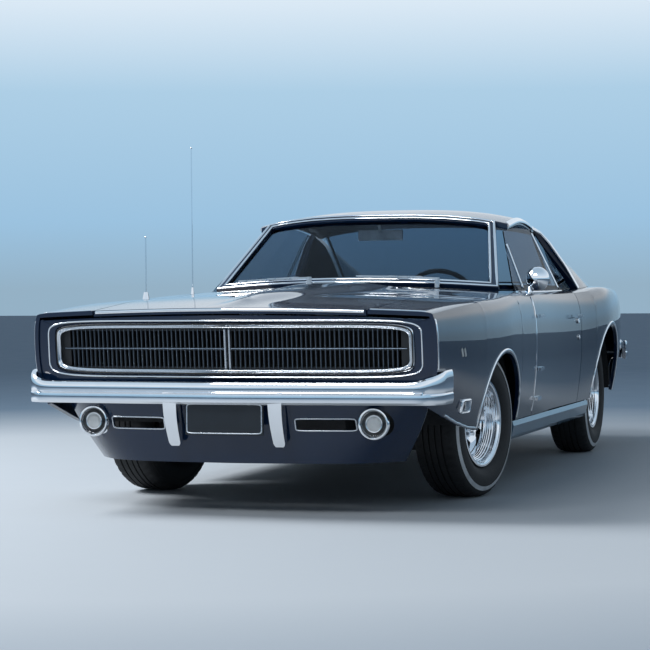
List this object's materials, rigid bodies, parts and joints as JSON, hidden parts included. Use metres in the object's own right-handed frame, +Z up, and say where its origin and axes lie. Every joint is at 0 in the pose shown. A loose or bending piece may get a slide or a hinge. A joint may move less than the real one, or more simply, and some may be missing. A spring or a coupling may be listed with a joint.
{
  "type": "two-door fastback muscle car",
  "caption": "Two-door fastback muscle car with a full-width grille, chrome bumpers, opening doors, hood and trunk lid, steered front wheels and rolling wheels.",
  "frame": {"origin": "on the ground, at mid-length and mid-width of the car", "axes": "+X forward, +Y to the car's left, +Z up"},
  "size_m": [5.28, 1.9472, 1.6956],
  "materials": {
    "paint": "gloss metallic",
    "black_steel": "satin",
    "cast_iron": "rough",
    "chrome": "mirror polish",
    "glass": "clear, lightly tinted",
    "clear_lens": "fluted",
    "red_lens": "gloss",
    "sill_trim": "satin",
    "cabin_plastic": "grained",
    "vinyl": "pleated vinyl",
    "exhaust_steel": "dull",
    "polished_alloy": "polished",
    "tyre": "matt"
  },
  "bodies": {
    "body": {"floor_pan": "black_steel", "frame_rails": "black_steel", "wheelhouses_front": "black_steel", "wheelhouses_rear": "black_steel", "hinge_posts": "black_steel", "sills": "sill_trim", "cowl": "paint", "fender_left": "paint", "fender_right": "paint", "quarter_left": "paint", "quarter_right": "paint", "roof": "paint", "windscreen_frame": "paint", "c_pillars": "paint", "rear_deck": "paint", "tail_panel": "paint", "tail_lamps": "red_lens", "rear_bumper": "chrome", "nose_frame": "paint", "grille_moulding": "chrome", "grille": "black_steel", "front_bumper": "chrome", "front_valance": "paint", "fog_lamps": "clear_lens", "side_markers": "clear_lens", "windscreen": "glass", "rear_window": "glass", "quarter_windows": "glass", "dashboard": "cabin_plastic", "steering_wheel": "cabin_plastic", "front_seats": "vinyl", "rear_seat": "vinyl", "interior_mirror": "chrome", "wipers": "chrome", "antennas": "chrome", "engine": "cast_iron", "front_suspension": "black_steel", "rear_axle": "black_steel", "exhaust": "exhaust_steel", "fuel_tank": "black_steel"},
    "door_left": {"door_left": "paint", "door_glass_left": "glass", "door_trim_left": "chrome", "door_mirror": "chrome"},
    "door_right": {"door_right": "paint", "door_glass_right": "glass", "door_trim_right": "chrome"},
    "hood": {"hood": "paint"},
    "trunk_lid": {"trunk_lid": "paint"},
    "knuckle_left": {"knuckle_left": "black_steel"},
    "knuckle_right": {"knuckle_right": "black_steel"},
    "wheel_front_left": {"wheel_front_left": "polished_alloy", "tyre_front_left": "tyre"},
    "wheel_front_right": {"wheel_front_right": "polished_alloy", "tyre_front_right": "tyre"},
    "wheel_rear_left": {"wheel_rear_left": "polished_alloy", "tyre_rear_left": "tyre"},
    "wheel_rear_right": {"wheel_rear_right": "polished_alloy", "tyre_rear_right": "tyre"}
  },
  "joints": [
    {"name": "door_left_hinge", "type": "hinge", "parent": "body", "child": "door_left", "pos_m": [0.736, 0.88, 0.6], "axis": [0, 0, -1], "range_deg": [0, 65]},
    {"name": "door_right_hinge", "type": "hinge", "parent": "body", "child": "door_right", "pos_m": [0.736, -0.88, 0.6], "axis": [0, 0, 1], "range_deg": [0, 65]},
    {"name": "hood_hinge", "type": "hinge", "parent": "body", "child": "hood", "pos_m": [0.87, 0, 0.895], "axis": [0, -1, 0], "range_deg": [0, 55]},
    {"name": "trunk_lid_hinge", "type": "hinge", "parent": "body", "child": "trunk_lid", "pos_m": [-1.4, 0, 0.905], "axis": [0, 1, 0], "range_deg": [0, 60]},
    {"name": "steer_left", "type": "hinge", "parent": "body", "child": "knuckle_left", "pos_m": [1.41, 0.713, 0.345], "axis": [0, 0, 1], "range_deg": [-22, 44]},
    {"name": "steer_right", "type": "hinge", "parent": "body", "child": "knuckle_right", "pos_m": [1.41, -0.713, 0.345], "axis": [0, 0, 1], "range_deg": [-22, 44]},
    {"name": "spin_front_left", "type": "hinge", "parent": "knuckle_left", "child": "wheel_front_left", "pos_m": [1.41859, 0.75717, 0.345], "axis": [0.1908, 0.9816, 0], "continuous": true},
    {"name": "spin_front_right", "type": "hinge", "parent": "knuckle_right", "child": "wheel_front_right", "pos_m": [1.40141, -0.75717, 0.345], "axis": [0.1908, 0.9816, 0], "continuous": true},
    {"name": "spin_rear_left", "type": "hinge", "parent": "body", "child": "wheel_rear_left", "pos_m": [-1.35, 0.758, 0.345], "axis": [0, 1, 0], "continuous": true},
    {"name": "spin_rear_right", "type": "hinge", "parent": "body", "child": "wheel_rear_right", "pos_m": [-1.35, -0.758, 0.345], "axis": [0, 1, 0], "continuous": true}
  ],
  "couplings": [
    {"joint": "steer_right", "follows": "steer_left", "ratio": 1}
  ]
}
